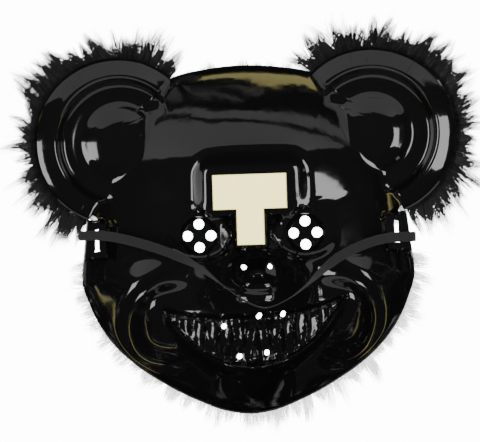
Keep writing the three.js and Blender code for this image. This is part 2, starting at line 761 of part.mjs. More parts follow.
// Names of the finished pieces with their colours
const looks = {
  shell: { color: 0x0b0b0c, roughness: 0.12, metalness: 0 },
  foam_pad: { color: 0xf6ecc4, roughness: 0.95, metalness: 0 },
  strap: { color: 0x1c1c1e, roughness: 0.9, metalness: 0 },
  black_fur: { color: 0x121214, roughness: 0.8, metalness: 0 },
  white_fur: { color: 0xf2f1ed, roughness: 0.85, metalness: 0 },
};

function named(name, geometry, look) {
  const mesh = new THREE.Mesh(geometry, new THREE.MeshStandardMaterial(look));
  mesh.name = name;
  return mesh;
}

const mask = new THREE.Group();
mask.add(named('shell', geometryFrom(shellSolid), looks.shell));
mask.add(named('foam_pad', padBody(0), looks.foam_pad));
mask.add(named('strap', strapGeometry(), looks.strap));
mask.add(named('ear_fur_left', geometryFrom(earFur(-1)), looks.black_fur));
mask.add(named('ear_fur_right', geometryFrom(earFur(1)), looks.black_fur));
mask.add(named('eye_fur_left', geometryFrom(eyeFur(-1)), looks.black_fur));
mask.add(named('eye_fur_right', geometryFrom(eyeFur(1)), looks.black_fur));
mask.add(named('face_fur', geometryFrom(faceFur()), looks.white_fur));

export default mask;
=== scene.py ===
import math

import bpy
import numpy as np
from mathutils import Matrix, Vector


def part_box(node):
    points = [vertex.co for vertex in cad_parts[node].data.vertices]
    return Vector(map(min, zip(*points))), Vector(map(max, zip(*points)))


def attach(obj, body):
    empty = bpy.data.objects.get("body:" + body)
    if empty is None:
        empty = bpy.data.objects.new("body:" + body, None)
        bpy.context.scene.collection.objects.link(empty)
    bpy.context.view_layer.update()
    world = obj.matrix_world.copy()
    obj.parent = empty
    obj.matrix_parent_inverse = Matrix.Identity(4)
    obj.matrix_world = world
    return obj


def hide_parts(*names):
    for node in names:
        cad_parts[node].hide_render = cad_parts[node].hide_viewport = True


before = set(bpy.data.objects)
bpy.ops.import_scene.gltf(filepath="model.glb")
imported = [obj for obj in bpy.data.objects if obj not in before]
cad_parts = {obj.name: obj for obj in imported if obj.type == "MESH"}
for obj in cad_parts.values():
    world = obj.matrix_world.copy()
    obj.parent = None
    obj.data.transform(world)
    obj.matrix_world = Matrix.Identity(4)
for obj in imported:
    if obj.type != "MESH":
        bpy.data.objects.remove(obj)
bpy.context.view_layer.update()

# A furry bear mask of moulded black plastic, seen from behind. Lengths in the dictionaries are in
# millimetres in the frame's own axes, and mm turns them into metres where a mesh is made.
mm = 0.001
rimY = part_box("shell")[0].y / mm  # plane of the mask's edge
print("frame loaded")


# Camera

camera = dict(
    target=(-3.6, -36.0, -8.6),  # what stands at the middle of the picture
    distance=1296.0,
    azimuth=6.3,  # degrees to the +X side of straight behind
    roll=1.8, lens=135.0, sensor=36.0,
)


def makeCamera():
    turn, roll = (math.radians(camera[k]) for k in ("azimuth", "roll"))
    target = Vector(camera["target"]) * mm
    upright = Matrix.Rotation(turn, 4, "Z") @ Matrix.Rotation(math.pi / 2, 4, "X")
    turned = upright @ Matrix.Rotation(-roll, 4, "Z")
    away = turned.col[2].to_3d() * camera["distance"] * mm
    data = bpy.data.cameras.new("camera")
    data.lens = camera["lens"]
    data.sensor_width = camera["sensor"]
    obj = bpy.data.objects.new("camera", data)
    bpy.context.scene.collection.objects.link(obj)
    obj.matrix_world = Matrix.Translation(target + away) @ turned
    bpy.context.scene.camera = obj


makeCamera()
print("camera placed")


# Meshes

def buildMesh(name, points, faces, smooth=True, sharpAbove=None):
    # points in millimetres; faces is a list of arrays, each with one face size
    mesh = bpy.data.meshes.new(name)
    mesh.vertices.add(len(points))
    mesh.vertices.foreach_set("co", (np.asarray(points) * mm).astype(np.float32).ravel())
    corners = np.concatenate([np.asarray(f).ravel() for f in faces])
    sizes = np.concatenate([np.full(len(f), np.shape(f)[1]) for f in faces])
    mesh.loops.add(len(corners))
    mesh.loops.foreach_set("vertex_index", corners.astype(np.int32))
    mesh.polygons.add(len(sizes))
    starts = np.concatenate([[0], np.cumsum(sizes)[:-1]])
    mesh.polygons.foreach_set("loop_start", starts.astype(np.int32))
    mesh.update(calc_edges=True)
    mesh.polygons.foreach_set("use_smooth", np.full(len(sizes), smooth))
    if sharpAbove:
        mesh.set_sharp_from_angle(angle=math.radians(sharpAbove))
    mesh.update()
    obj = bpy.data.objects.new(name, mesh)
    bpy.context.scene.collection.objects.link(obj)
    return obj


# look is a material and the name of its slot; the slot's name is not used.
def finishPiece(obj, look, node):
    material, slot = look
    obj.data.materials.append(material)
    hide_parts(node)
    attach(obj, "root")
    return obj


# A closed sheet from two layers of one grid. rear and front are (x, y, z) arrays, and faceOn says
# which cells are there. The layers face away from each other, and every open side gets a wall.
def closedSheet(name, node, look, rear, front, faceOn, sharpAbove=40):
    rows, columns = rear[0].shape
    place = np.arange(rows * columns).reshape(rows, columns)
    a, b = place[:-1, :-1], place[:-1, 1:]
    c, d = place[1:, 1:], place[1:, :-1]
    second = rows * columns
    rearFaces = np.stack([a, b, c, d], -1)[faceOn]
    frontFaces = np.stack([d, c, b, a], -1)[faceOn] + second
    around = np.pad(faceOn, 1)
    sides = [
        (around[:-2, 1:-1], a, b),
        (around[1:-1, 2:], b, c),
        (around[2:, 1:-1], c, d),
        (around[1:-1, :-2], d, a),
    ]
    walls = []
    for neighbour, start, end in sides:
        bare = faceOn & ~neighbour
        s, e = start[bare], end[bare]
        walls.append(np.stack([e, s, s + second, e + second], -1))
    faces = np.concatenate([rearFaces, frontFaces, *walls])
    points = np.concatenate([np.stack(layer, -1).reshape(-1, 3) for layer in (rear, front)])
    used, compact = np.unique(faces, return_inverse=True)
    obj = buildMesh(name, points[used], [compact.reshape(faces.shape)], sharpAbove=sharpAbove)
    return finishPiece(obj, look, node)


# A grid over -1..1 both ways pressed into a round one: x = u sqrt(1 - v v / 2), z = v sqrt(1 - u u / 2).
def discGrid(across, upwards):
    u, v = np.meshgrid(gridLines(across), gridLines(upwards))
    return u * np.sqrt(1 - v * v / 2), v * np.sqrt(1 - u * u / 2)


# Lines from -1 to 1. stretches is a number of cells, or rows of (start, end, cells).
def gridLines(stretches):
    if isinstance(stretches, int):
        return np.linspace(-1, 1, stretches + 1)
    parts = [np.linspace(start, end, cells, endpoint=False) for start, end, cells in stretches]
    return np.concatenate([*parts, [1.0]])


# Drops cells. Gives the ones that stay, and the vertices between them and the dropped ones.
def dropCells(dropped, faceOn):
    def touched(mask):
        grown = np.zeros((mask.shape[0] + 1, mask.shape[1] + 1), bool)
        for i in (0, 1):
            for j in (0, 1):
                grown[i : i + mask.shape[0], j : j + mask.shape[1]] |= mask
        return grown

    stays = faceOn & ~dropped
    return stays, touched(faceOn & dropped) & touched(stays)


def cellMiddles(values):
    return (values[:-1, :-1] + values[1:, :-1] + values[:-1, 1:] + values[1:, 1:]) / 4


# Cuts a round hole in a grid: cells with their middle inside go, and the border moves onto the circle.
def cutRound(layers, faceOn, middleX, middleZ, radius):
    x, z = layers[0]
    away = np.hypot(cellMiddles(x) - middleX, cellMiddles(z) - middleZ)
    faceOn, border = dropCells(away < radius, faceOn)
    for x, z in layers:
        away = np.hypot(x - middleX, z - middleZ)
        scale = np.where(border, radius / np.maximum(away, 1e-6), 1)
        x[:] = mix(middleX, x, scale)
        z[:] = mix(middleZ, z, scale)
    return faceOn


# Cuts an upright slot: the border moves to whichever of its sides is nearer.
def cutSlot(layers, faceOn, middleX, middleZ, width, height):
    x, z = layers[0]
    overX = np.abs(cellMiddles(x) - middleX) - width / 2
    overZ = np.abs(cellMiddles(z) - middleZ) - height / 2
    faceOn, border = dropCells((overX < 0.1 * width) & (overZ < 0), faceOn)
    for x, z in layers:
        sideX = middleX + np.sign(x - middleX) * width / 2
        sideZ = middleZ + np.sign(z - middleZ) * height / 2
        nearX = np.abs(np.abs(x - middleX) - width / 2) <= np.abs(np.abs(z - middleZ) - height / 2)
        x[:] = np.where(border & nearX, sideX, x)
        z[:] = np.where(border & ~nearX, sideZ, z)
    return faceOn


def softStep(t):
    t = np.clip(t, 0, 1)
    return t * t * (3 - 2 * t)


def mix(start, end, share):
    return start + (end - start) * share


def unit(vectors):
    return vectors / np.linalg.norm(vectors, axis=1)[:, None]


# A smooth curve through the rows (key, value): a cubic in each span, flat at both ends.
def rowCurve(rows, at):
    key, value = np.array(rows, float).T
    slope = np.zeros_like(value)
    slope[1:-1] = (value[2:] - value[:-2]) / (key[2:] - key[:-2])
    low = np.clip(np.searchsorted(key, at) - 1, 0, len(key) - 2)
    span = key[low + 1] - key[low]
    t = np.clip((at - key[low]) / span, 0, 1)
    first = t * (1 - t) ** 2 * span * slope[low]
    last = t * t * (t - 1) * span * slope[low + 1]
    return value[low] + (value[low + 1] - value[low]) * softStep(t) + first + last


# Strap: its route and its loops at the lugs are the ones of the CAD model.

strap = dict(
    width=7.0, thickness=0.8, stepsPerRow=14, slotAcross=108.5, slotWidth=2.6, lugReach=7.0,
    lugEdge=120.34,  # half width of the mask at the lugs
    gap=0.3, wall=1.2,
    route=[  # x, y, z, turn in degrees about its own line
        (-108, -38.3, -15.9, 0), (-94.5, -39.5, -17.6, 0), (-72.6, -40.5, -23.6, 0),
        (-52.3, -40.5, -31.2, 14), (-34, -39.5, -41, 52), (-16, -38.5, -55.4, 84),
        (0, -38, -67, 90), (13, -38, -71.4, 90), (28, -38, -66.4, 90),
        (42, -38.5, -57, 82), (54, -39.5, -46.4, 52), (66, -40.5, -37.2, 14),
        (80.6, -40.5, -29.9, 0), (95, -39.5, -25.2, 0), (108, -38.3, -23.5, 0),
    ],
)


def lugLoop(side, up):
    layer = strap["gap"] + strap["thickness"] / 2
    bend = strap["slotWidth"] / 2 + 0.2
    edge = strap["lugEdge"] + 2 * layer
    middle, wall = strap["slotAcross"], strap["wall"]
    rows = [
        (middle - 0.9 * strap["lugReach"], -layer),
        (middle - 2 * bend, -layer),
        (middle - bend, -layer - 0.1),
        (middle - 0.2 * bend, -0.1),
        (middle + 0.2 * bend, wall + 0.1),
        (middle + bend, wall + layer + 0.1),
        (middle + 2 * bend, wall + layer),
        (edge - 2, wall + layer),
        (edge, wall / 2),
        (edge - 2, -3 * layer - strap["gap"]),
    ]
    return [(side * x, rimY + y, up, 0) for x, y in rows]


# A centripetal Catmull-Rom curve: in each span a cubic whose end slopes come from the square roots
# of the distances between neighbouring points. Returns points and slopes.
def splineThrough(points, steps):
    ends = np.vstack([2 * points[0] - points[1], points, 2 * points[-1] - points[-2]])
    p0, p1, p2, p3 = ends[:-3], ends[1:-2], ends[2:-1], ends[3:]
    d0, d1, d2 = (np.linalg.norm(b - a, axis=1)[:, None] ** 0.5 for a, b in ((p0, p1), (p1, p2), (p2, p3)))
    m1 = ((p1 - p0) / d0 - (p2 - p0) / (d0 + d1) + (p2 - p1) / d1) * d1
    m2 = ((p2 - p1) / d1 - (p3 - p1) / (d1 + d2) + (p3 - p2) / d2) * d1
    t = np.linspace(0, 1, steps, endpoint=False)[None, :, None]
    a, b, m, n = (v[:, None, :] for v in (p1, p2, m1, m2))
    line = a * (2 * t**3 - 3 * t**2 + 1) + m * (t**3 - 2 * t**2 + t) + b * (3 * t**2 - 2 * t**3)
    line = line + n * (t**3 - t**2)
    line = np.vstack([line.reshape(-1, 3), points[-1]])
    return line, unit(np.gradient(line, axis=0))


# The band is a flat section with rounded edges, a superellipse, carried along the route.
def makeStrap(material):
    rows = lugLoop(-1, strap["route"][0][2]) + strap["route"] + lugLoop(1, strap["route"][-1][2])[::-1]
    rows = np.array(rows, float)
    line, along = splineThrough(rows[:, :3], strap["stepsPerRow"])
    at = np.linspace(0, len(rows) - 1, len(line))
    low = np.clip(np.floor(at).astype(int), 0, len(rows) - 2)
    turn = np.radians(mix(rows[low, 3], rows[low + 1, 3], softStep(at - low)))[:, None]
    upright = unit(np.array([0, 0, 1.0]) - along * along[:, 2:3])
    face = np.cross(along, upright)
    broad = upright * np.cos(turn) + face * np.sin(turn)
    thin = np.cross(along, broad)
    angle = np.linspace(0, 2 * np.pi, 20, endpoint=False)
    wide = np.sign(np.cos(angle)) * np.abs(np.cos(angle)) ** 0.3 * strap["width"] / 2
    deep = np.sign(np.sin(angle)) * np.abs(np.sin(angle)) ** 0.6 * strap["thickness"] / 2
    points = line[:, None] + broad[:, None] * wide[None, :, None] + thin[:, None] * deep[None, :, None]
    ring = len(angle)
    i, j = np.meshgrid(np.arange(len(line) - 1), np.arange(ring), indexing="ij")
    k = (j + 1) % ring
    quads = np.stack([i * ring + j, i * ring + k, (i + 1) * ring + k, (i + 1) * ring + j], -1)
    start = np.arange(ring)[::-1][None]
    end = (len(line) - 1) * ring + np.arange(ring)[None]
    obj = buildMesh("strap_band", points.reshape(-1, 3), [quads.reshape(-1, 4), start, end], sharpAbove=60)
    run = np.concatenate([[0], np.cumsum(np.linalg.norm(np.diff(line, axis=0), axis=1))])
    uv = np.stack([np.repeat(run, ring), np.tile(wide, len(line))], -1) * mm
    corners = np.zeros(len(obj.data.loops), np.int32)
    obj.data.loops.foreach_get("vertex_index", corners)
    layer = obj.data.uv_layers.new(name="along_and_across")
    layer.data.foreach_set("uv", uv[corners].astype(np.float32).ravel())
    finishPiece(obj, (material, "elastic"), "strap")
    print("strap made,", round(float(run[-1])), "mm long")


# Materials

def newMaterial(name, color, roughness, **sockets):
    material = bpy.data.materials.new(name)
    material.use_nodes = True
    shader = material.node_tree.nodes["Principled BSDF"]
    shader.inputs["Base Color"].default_value = (*color, 1)
    shader.inputs["Roughness"].default_value = roughness
    for socket, value in sockets.items():
        shader.inputs[socket.replace("_", " ")].default_value = value
    return material, shader


def addNode(material, kind, **values):
    node = material.node_tree.nodes.new(kind)
    for name, value in values.items():
        if name in node.inputs:
            node.inputs[name].default_value = value
        else:
            setattr(node, name, value)
    return node


def join(material, start, end):
    material.node_tree.links.new(start, end)


def objectCoordinates(material):
    return addNode(material, "ShaderNodeTexCoord").outputs["Object"]


def noiseOn(material, scale, detail=2.0, roughness=0.5):
    noise = addNode(material, "ShaderNodeTexNoise", Scale=scale, Detail=detail, Roughness=roughness)
    join(material, objectCoordinates(material), noise.inputs["Vector"])
    return noise.outputs["Fac"]


def ramp(material, value, low, high, start=0.0, end=1.0):
    limits = {"From Min": low, "From Max": high, "To Min": start, "To Max": end}
    node = addNode(material, "ShaderNodeMapRange", **limits)
    join(material, value, node.inputs["Value"])
    return node.outputs["Result"]


def product(material, first, second):
    node = addNode(material, "ShaderNodeMath", operation="MULTIPLY")
    join(material, first, node.inputs[0])
    join(material, second, node.inputs[1])
    return node.outputs[0]


def colorMix(material, shader, share, first, second):
    node = addNode(material, "ShaderNodeMix", data_type="RGBA")
    node.inputs[6].default_value = (*first, 1)
    node.inputs[7].default_value = (*second, 1)
    join(material, share, node.inputs[0])
    join(material, node.outputs[2], shader.inputs["Base Color"])


def addBump(material, shader, height, strength, distance, under=None):
    bump = addNode(material, "ShaderNodeBump", Strength=strength, Distance=distance)
    join(material, height, bump.inputs["Height"])
    if under is not None:
        join(material, under, bump.inputs["Normal"])
    join(material, bump.outputs["Normal"], shader.inputs["Normal"])
    return bump.outputs["Normal"]


plasticLook = dict(
    color=(0.002, 0.002, 0.0022), roughness=0.06,
    swell=(55, 2, 0.00018),  # scale, detail and depth
    peel=(900, 1, 0.00001),
    rubbed=(38, 5, 0.65),  # scale, detail and its falling off
    rubbedFrom=0.52, rubbedTo=0.75, dust=0.10,
)


# Black sheet: long shallow swells from the forming, a fine peel, and rubbed patches a little duller.
def plasticMaterial():
    look = plasticLook
    material, shader = newMaterial("black_plastic", look["color"], look["roughness"], IOR=1.52)
    scale, detail, depth = look["swell"]
    under = addBump(material, shader, noiseOn(material, scale, detail), 1.0, depth)
    scale, detail, depth = look["peel"]
    addBump(material, shader, noiseOn(material, scale, detail), 1.0, depth, under)
    cloud = noiseOn(material, *look["rubbed"])
    rubbed = ramp(material, cloud, look["rubbedFrom"], look["rubbedTo"])
    rough = ramp(material, rubbed, 0, 1, look["roughness"], look["roughness"] + look["dust"])
    join(material, rough, shader.inputs["Roughness"])
    return material


# middle is the foam's colour; edge is a darker colour, painted into the pores as shade.
foamLook = dict(middle=(0.98, 0.88, 0.36), edge=(0.88, 0.74, 0.24), pore=1100, poreDepth=0.0003)


# Cut foam: round pores of two sizes, paler on its broad face than in the pores, where the darker edge colour
# is painted shade; a cloud adds random tone.
def foamMaterial():
    look = foamLook
    material, shader = newMaterial("cream_foam", look["middle"], 0.95, Specular_IOR_Level=0.15)
    pores = addNode(material, "ShaderNodeTexVoronoi", Scale=look["pore"])
    join(material, objectCoordinates(material), pores.inputs["Vector"])
    cloud = noiseOn(material, 120, 4, 0.6)
    open_ = ramp(material, pores.outputs["Distance"], 0.1, 0.6)
    tone = product(material, open_, ramp(material, cloud, 0.3, 0.7, 0.75, 1.0))
    # Painted shade: the pores take the darker edge colour.
    colorMix(material, shader, tone, look["edge"], look["middle"])
    addBump(material, shader, pores.outputs["Distance"], 0.6, look["poreDepth"])
    return material


# thread is the elastic's colour; gap is darker, painted shade in the low spots of the weave.
elasticLook = dict(thread=(0.003, 0.003, 0.0033), gap=(0.0008, 0.0008, 0.001), rib=0.0011, pick=0.0007)


# Woven elastic: ribs along the band and picks across it, from the band's own map. Its low spots take the
# darker gap colour as painted shade.
def elasticMaterial():
    look = elasticLook
    material, shader = newMaterial("woven_elastic", look["thread"], 0.82, Sheen_Weight=0.04)
    shader.inputs["Sheen Roughness"].default_value = 0.6
    uv = addNode(material, "ShaderNodeUVMap", uv_map="along_and_across")
    split = addNode(material, "ShaderNodeSeparateXYZ")
    join(material, uv.outputs["UV"], split.inputs["Vector"])
    waves = []
    for output, pitch in (("Y", look["rib"]), ("X", look["pick"])):
        turns = addNode(material, "ShaderNodeMath", operation="MULTIPLY")
        turns.inputs[1].default_value = 2 * math.pi / pitch
        join(material, split.outputs[output], turns.inputs[0])
        wave = addNode(material, "ShaderNodeMath", operation="SINE")
        join(material, turns.outputs[0], wave.inputs[0])
        waves.append(wave.outputs[0])
    share = ramp(material, product(material, *waves), -1, 1)
    # Painted shade: the gap colour where the weave is low.
    colorMix(material, shader, share, look["gap"], look["thread"])
    addBump(material, shader, share, 0.8, 0.0003)
    return material


# Fur: clumps of two tones along the pile, with a soft sheen.
def furMaterial(name, dark, pale, roughness, sheen):
    material, shader = newMaterial(name, pale, roughness, Sheen_Weight=sheen)
    shader.inputs["Sheen Roughness"].default_value = 0.5
    clumps = ramp(material, noiseOn(material, 160, 3), 0.35, 0.65)
    fine = ramp(material, noiseOn(material, 1500, 1), 0.3, 0.7, 0.5, 1.0)
    colorMix(material, shader, product(material, clumps, fine), dark, pale)
    addBump(material, shader, fine, 0.3, 0.0002)
    return material


shellLook = plasticMaterial(), "black_plastic"
foam = foamMaterial()
elastic = elasticMaterial()
blackFur = furMaterial("black_fur", (0.0008, 0.0008, 0.001), (0.005, 0.005, 0.0055), 0.55, 0.02)
whiteFur = furMaterial("white_fur", (0.88, 0.87, 0.86), (0.98, 0.975, 0.965), 0.7, 0.2)
makeStrap(elastic)


# Head

head = dict(
    halfWidth=120.0, middleUp=-48.0, rise=151.6, drop=99.6,
    crown=52.0,  # depth of the plain dome
    fullness=3.2, edge=0.75, wall=1.2, steepest=3.5, browRise=0.12,
    across=[(-1, -0.93, 9), (-0.93, -0.62, 22), (-0.62, 0.62, 182), (0.62, 0.93, 22), (0.93, 1, 9)],
    upwards=[
        (-1, -0.94, 8), (-0.94, -0.78, 9), (-0.78, -0.1, 90),
        (-0.1, 0.52, 58), (0.52, 0.95, 22), (0.95, 1, 7),
    ],
    rimSoft=0.15,  # share over which the wall turns in at its edge
    rimThickness=0.5,
    outline=[  # turn from straight up in degrees, reach
        (0, 1), (12, 1.01), (24, 1.043), (38, 1.075), (48, 1.08), (57, 1.062),
        (68, 1.023), (80, 0.997), (91, 1.003), (101, 0.978), (119, 0.952), (131, 0.936),
        (145, 0.928), (160, 0.95), (171, 0.985), (180, 1),
    ],
    forms=[  # across, up, half width, half height, lift, soft: shares as in the CAD model
        (0.65, -0.06, 0.27, 0.13, 0.13, 1),  # cheek
        (0, -0.04, 0.46, 0.14, 0.5, 0.9),  # muzzle
        (0, -0.175, 0.62, 0.18, 0.38, 0.9),  # jaw
        (0, -0.322, 0.27, 0.1, 0.42, 1),  # chin
        (0, 0.006, 0.2, 0.066, 0.24, 1),  # nose
    ],
)
headHeight = head["rise"] + head["drop"]

# Shares of the head's half width and height, like the forms; browStep is the height of its lower edge.
forehead = dict(up=0.36, halfWidth=0.78, halfHeight=0.26, lift=0.22, soft=0.85, browStep=0.03)

ear = dict(
    across=92.4, up=52.0, radius=60.6, depth=28.0,
    rimSoft=(0.85, 0.13),  # where the wall starts to turn in at its edge, and over how much
    rimThickness=0.8,
    gridShift=(16.0, 5.0),  # from its middle outwards and up to the middle of its grid
    cells=150,
    rows=[  # radius, depth
        (0, 1),
        (0.24, 0.97),
        (0.38, 0.82),
        (0.5, 0.64),
        (0.64, 0.66),
        (0.7, 0.6),
        (0.765, 0.36),
        (0.82, 0.3),
        (0.975, 0.1),
        (1, 0),
    ],
)

eye = dict(
    across=39.8, up=-18.8, depth=44.0, radius=14.6,
    buttonRows=[(0, 3), (0.78, 3), (0.845, 5), (0.918, 5), (1, 0)],  # radius and depth
    buttonSoft=(0.7, 0.2), holeRadius=3.8, holeReach=8.7,
    cornerAcross=23.6,  # straight side of the facet beside it
    cornerReach=9.6, cornerEdge=1.2, cornerSlopes=(0.38, 0.58), hollowHalfWidth=27.7,
    hollowHalfHeight=21.2, hollowSoft=0.3, cells=64,
)

pad = dict(
    barHalfWidth=27.5, barHeight=26.0, stemHalfWidth=10.2, stemHeight=26.5, thickness=5.0,
    margin=4.0,  # flat land left round its bar
    stemMargin=1.5, stemStep=3.0, barSlope=17.0, gap=0.3, rounding=1.1,
    cells=(26, 30, 38),  # across an arm and the stem, and up the bar or the stem
    closeColumns=(0.15, 0.35, 0.6),  # lines close to a cut edge
    closeRows=(0.15, 0.4), uneven=0.12, fill=0.9,
)

nose = dict(across=10.0, up=-43.8, holeRadius=2.0)

mouth = dict(
    halfWidth=70.0, cornerUp=-67.0, tilt=3.0, upperSag=12.5, upperPower=2,
    lowerSag=50.0, lowerPower=2.4, recess=7.0,
    beadUp=0.4,  # of the lower lip, as shares of the recess
    beadWidth=0.75, gumWave=0.45, holeRadius=2.0,
    holes=[(0.01, -0.2), (0.28, -0.18), (-0.35, -0.29), (0.11, -0.58), (-0.18, -0.61)],
)

# The fold round a corner of the grin: shares of half the mouth's width, and angles in radians.
fold = dict(across=0.86, down=0.21, radius=0.44, width=0.085, depth=0.09, end=2.1, fade=0.8)

tooth = dict(
    pitch=18.6, width=9.5, height=3.4,
    least=0.25,  # half width at the tip
    taper=0.85,
    side=0.3,  # the part of its height, and of its half width, that its steep sides take
    ridge=1.2, rootSoft=(0.06, 0.08), tipSoft=0.12,
    standing=dict(root=0.6, reach=0.8, breadth=1.0, lean=0.0016),
    hanging=dict(root=-0.1, reach=0.72, breadth=0.75, lean=0.0012),
)

ridge = dict(round=5.0, even=10, overlap=0.5, rays=1441, clear=0.02)

lug = dict(inner=100.3, up=-19.7, halfHeight=13.7, slotHeight=15.6, soft=1.4)


def headPlace(turn, share, inset=0.0):
    reach = rowCurve(head["outline"], np.abs(turn)) * share
    angle = np.radians(turn)
    half = np.where(np.cos(angle) > 0, head["rise"], head["drop"]) - inset
    x = np.sin(angle) * reach * (head["halfWidth"] - inset)
    return x, head["middleUp"] + np.cos(angle) * reach * half


def headShare(x, z):
    across = np.abs(x) / head["halfWidth"]
    up = (z - head["middleUp"]) / np.where(z > head["middleUp"], head["rise"], head["drop"])
    return np.hypot(across, up) / rowCurve(head["outline"], np.degrees(np.arctan2(across, up)))


# 1 in the middle of an oval and 0 from its edge outwards; soft is the share of it that slopes.
def ovalForm(x, z, middleX, middleZ, halfWidth, halfHeight, soft):
    away = np.hypot((x - middleX) / halfWidth, (z - middleZ) / halfHeight)
    return softStep((1 - away) / soft)


def lipUp(x, sag, power):
    share = np.minimum(np.abs(x) / mouth["halfWidth"], 1)
    return mouth["cornerUp"] - sag * (1 - share**power) + x * math.tan(math.radians(mouth["tilt"]))


def upperLip(x):
    return lipUp(x, mouth["upperSag"], mouth["upperPower"])


def lowerLip(x):
    return lipUp(x, mouth["lowerSag"], mouth["lowerPower"])


def headOval(x, z, middleX, up, halfWidth, halfHeight, soft):
    middleZ = head["middleUp"] + up * headHeight
    return ovalForm(x, z, middleX, middleZ, halfWidth * head["halfWidth"], halfHeight * headHeight, soft)


# The dome, crown (1 - share^fullness)^edge, with the oval forms and the forehead raised on it.
def plainDepth(x, z):
    share = np.minimum(headShare(x, z), 1)
    depth = head["crown"] * (1 - share ** head["fullness"]) ** head["edge"]
    for across, up, halfWidth, halfHeight, lift, soft in head["forms"]:
        middleX = across * head["halfWidth"] * np.sign(x + 1e-9)
        depth = depth + lift * head["crown"] * headOval(x, z, middleX, up, halfWidth, halfHeight, soft)
    row = (forehead[k] for k in ("up", "halfWidth", "halfHeight", "soft"))
    above = softStep((z - head["browRise"] * np.abs(x)) / (forehead["browStep"] * headHeight) + 0.5)
    return depth + forehead["lift"] * head["crown"] * headOval(x, z, 0, *row) * above


# A groove of a Gaussian section round each corner of the grin.
def smileFold(x, z):
    half = mouth["halfWidth"]
    sideX = np.abs(x) - fold["across"] * half
    sideZ = z - mouth["cornerUp"] + fold["down"] * half
    along = softStep((fold["end"] - np.abs(np.arctan2(sideZ, sideX))) / fold["fade"])
    across = (np.hypot(sideX, sideZ) - fold["radius"] * half) / (fold["width"] * half)
    return -fold["depth"] * half * np.exp(-across * across) * along


# The band of the grin sinks, and the lower lip is a Gaussian bead under it.
def mouthLift(x, z):
    recess = mouth["recess"]
    inside = np.minimum(upperLip(x) - z, z - lowerLip(x)) / (0.5 * recess)
    across = 1 - np.minimum(np.abs(x) / mouth["halfWidth"], 1) ** 2
    lipAway = (z - lowerLip(x) + mouth["beadUp"] * recess) / (mouth["beadWidth"] * recess)
    return -recess * softStep(inside) + recess * across * np.exp(-lipAway * lipAway)


# 1 on the flat land that the pad is glued to, and 0 a little way outside it.
def padLand(x, z):
    def awayFrom(halfWidth, height, middleZ):
        beyondX = np.maximum(np.abs(x) - halfWidth, 0)
        return np.hypot(beyondX, np.maximum(np.abs(z - middleZ) - height / 2, 0))

    bar = awayFrom(pad["barHalfWidth"], pad["barHeight"], pad["barHeight"] / 2)
    stem = awayFrom(pad["stemHalfWidth"], pad["stemHeight"], -pad["stemHeight"] / 2)
    slope = mix(pad["stemStep"], pad["barSlope"], softStep(z / pad["stemStep"] + 0.5))
    nearer = np.minimum((bar - pad["margin"]) / slope, (stem - pad["stemMargin"]) / pad["stemStep"])
    return 1 - softStep(nearer)


# 1 on the half round facet between a button and the stem of the pad.
def cornerShare(x, z):
    away = np.hypot(np.abs(x) - eye["cornerAcross"], z - eye["up"])
    inwards = softStep(eye["cornerAcross"] - np.abs(x) + 0.5)
    return softStep((eye["cornerReach"] - away) / eye["cornerEdge"] + 0.5) * inwards


def headDepth(x, z):
    depth = plainDepth(x, z) + smileFold(x, z)
    side = np.sign(x + 1e-9)
    size = eye["hollowHalfWidth"], eye["hollowHalfHeight"], eye["hollowSoft"]
    socket = ovalForm(x, z, side * eye["across"], eye["up"], *size)
    depth = mix(depth, eye["depth"] + head["wall"], socket)
    land = -rimY + pad["thickness"] + pad["gap"] + head["wall"]
    depth = mix(depth, land, padLand(x, z)) + mouthLift(x, z)
    slope = np.where(x < 0, *eye["cornerSlopes"])
    corner = eye["depth"] + head["wall"] - slope * (eye["cornerAcross"] - np.abs(x))
    return mix(depth, corner, cornerShare(x, z))


# One tooth: a wedge from its root on the lip to a point. q runs across it and f along it; its section
# is side softStep((1 - q) / side) + (1 - side) (1 - q)^ridge.
def toothForm(x, z, middle, stands):
    form = tooth["standing"] if stands else tooth["hanging"]
    size = 1 - 0.5 * (abs(middle) / mouth["halfWidth"]) ** 2
    band = upperLip(middle) - lowerLip(middle) - mouth["recess"] / 2
    lip = lowerLip(middle) if stands else upperLip(middle)
    reach = form["reach"] * band
    f = (z - lip - form["root"] * mouth["recess"]) / reach * (1 if stands else -1)
    breadth = tooth["width"] / 2 * size * form["breadth"]
    half = breadth * np.clip(1 - f, 0, 1) ** tooth["taper"] + tooth["least"]
    q = np.abs(x - middle - form["lean"] * middle * f * reach) / half
    side = tooth["side"]
    section = side * softStep((1 - q) / side) + (1 - side) * np.clip(1 - q, 0, 1) ** tooth["ridge"]
    early, soft = tooth["rootSoft"]
    ends = softStep((f + early) / soft) * softStep((1 - f) / tooth["tipSoft"])
    return tooth["height"] * size * section * ends


# The teeth rise from gums that wave once for every tooth.
def teethForm(x, z):
    inside = np.minimum(upperLip(x) - z, z - lowerLip(x)) / (0.6 * mouth["recess"])
    wave = np.cos(4 * np.pi * x / tooth["pitch"])
    relief = mouth["gumWave"] * (1 + wave) * softStep(inside - 0.3)
    count = int(0.9 * mouth["halfWidth"] / tooth["pitch"])
    for i in range(-count, count + 1):
        relief = np.maximum(relief, toothForm(x, z, i * tooth["pitch"], True))
    for i in range(-count - 1, count + 1):
        middle = (i + 0.5) * tooth["pitch"]
        if abs(middle) < mouth["halfWidth"]:
            relief = np.maximum(relief, toothForm(x, z, middle, False))
    return relief


def slopeOf(depthAt, x, z, step=1.5):
    slopeX = (depthAt(x + step, z) - depthAt(x - step, z)) / (2 * step)
    return slopeX, (depthAt(x, z + step) - depthAt(x, z - step)) / (2 * step)


